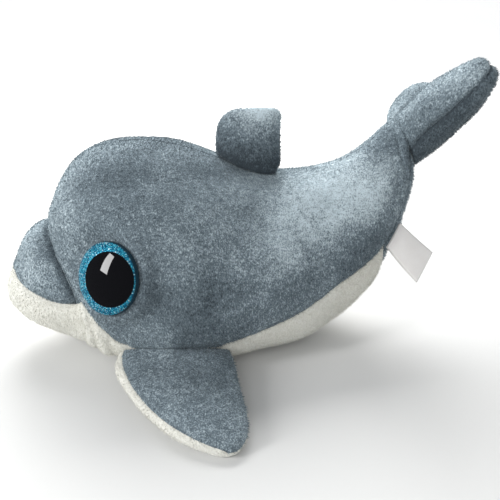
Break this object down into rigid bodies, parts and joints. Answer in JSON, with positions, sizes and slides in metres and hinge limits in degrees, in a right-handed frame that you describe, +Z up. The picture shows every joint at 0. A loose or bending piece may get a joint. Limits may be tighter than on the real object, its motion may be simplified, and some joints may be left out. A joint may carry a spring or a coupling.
{
  "type": "plush dolphin",
  "caption": "Soft plush dolphin with grey back, off-white belly, rounded stuffed fins, upturned tail and big domed glitter eyes, lying on its belly.",
  "frame": {"origin": "middle of the underside of the toy's box, on the table it lies on", "axes": "+Z up from the table, -X towards the nose, +X towards the flukes, -Y towards its left side"},
  "size_m": [0.1846, 0.1414, 0.1086],
  "materials": {
    "grey_plush": "short brushed plush, matt, slightly lighter where it catches the light",
    "off_white_plush": "short off-white plush, matt",
    "fibre_filling": "loose polyester fibre",
    "black_eye_plastic": "clear domed plastic over a black pupil and a blue glitter ring",
    "white_washer_plastic": "plain moulded",
    "white_satin": "smooth satin ribbon"
  },
  "bodies": {
    "root": {"left_side_panel": "grey_plush", "right_side_panel": "grey_plush", "snout_panel": "grey_plush", "belly_panel": "off_white_plush", "tail_underside_panel": "grey_plush", "body_stuffing": "fibre_filling", "eye_left": "black_eye_plastic", "eye_right": "black_eye_plastic", "eye_washer_left": "white_washer_plastic", "eye_washer_right": "white_washer_plastic", "flipper_left_top_panel": "grey_plush", "flipper_left_underside_panel": "off_white_plush", "flipper_left_stuffing": "fibre_filling", "flipper_right_top_panel": "grey_plush", "flipper_right_underside_panel": "off_white_plush", "flipper_right_stuffing": "fibre_filling", "dorsal_fin_left_panel": "grey_plush", "dorsal_fin_right_panel": "grey_plush", "dorsal_fin_stuffing": "fibre_filling", "fluke_left_top_panel": "grey_plush", "fluke_left_underside_panel": "grey_plush", "fluke_left_stuffing": "fibre_filling", "fluke_right_top_panel": "grey_plush", "fluke_right_underside_panel": "grey_plush", "fluke_right_stuffing": "fibre_filling", "label": "white_satin"}
  },
  "joints": []
}
